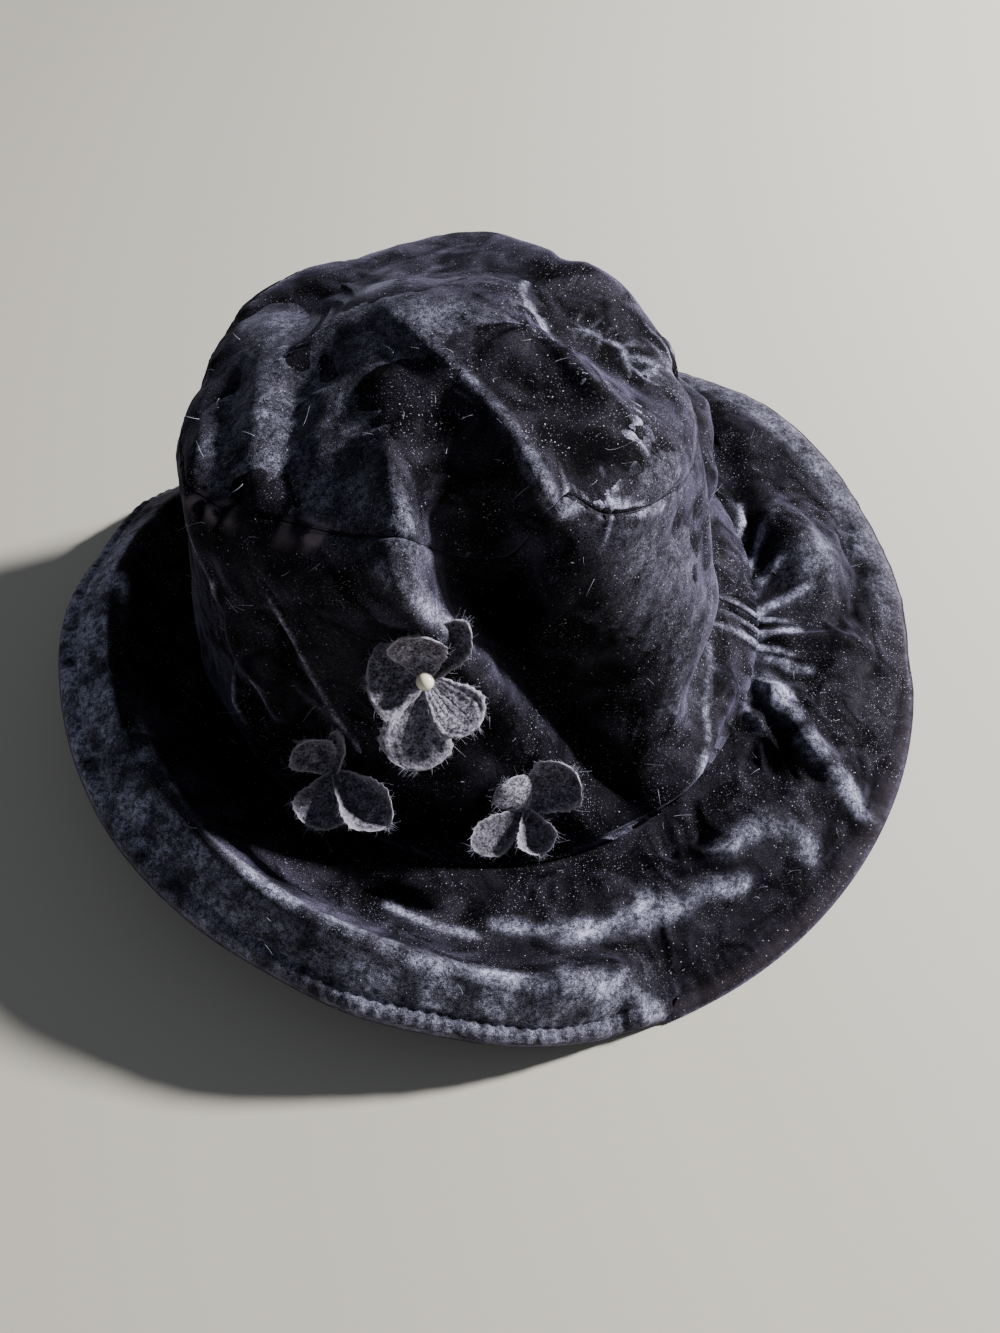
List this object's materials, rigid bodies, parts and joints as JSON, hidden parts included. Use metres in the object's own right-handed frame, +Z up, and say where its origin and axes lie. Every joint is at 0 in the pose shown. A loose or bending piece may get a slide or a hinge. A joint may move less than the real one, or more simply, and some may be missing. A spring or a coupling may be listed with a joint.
{
  "type": "cloche hat",
  "caption": "Soft crushed velvet cloche hat with a gored tip, a wide brim turned up at one side and small velvet flowers.",
  "frame": {"origin": "middle of the hat's bounding box, on the surface that the brim rests on", "axes": "+Z up through the crown, -Y towards the front where the flowers are, +X towards the low side of the brim"},
  "size_m": [0.2994, 0.2999, 0.1514],
  "materials": {
    "velvet": "crushed pile, near-black violet",
    "petal_velvet": "embossed pile with frayed edges",
    "pearl_bead": "pearly gloss"
  },
  "bodies": {
    "root": {"brim": "velvet", "side_band": "velvet", "tip_gore_front": "velvet", "tip_gore_right_front": "velvet", "tip_gore_right_back": "velvet", "tip_gore_back": "velvet", "tip_gore_left_back": "velvet", "tip_gore_left_front": "velvet", "violet_main": "petal_velvet", "violet_right": "petal_velvet", "violet_left": "petal_velvet", "bead": "pearl_bead"}
  },
  "joints": []
}
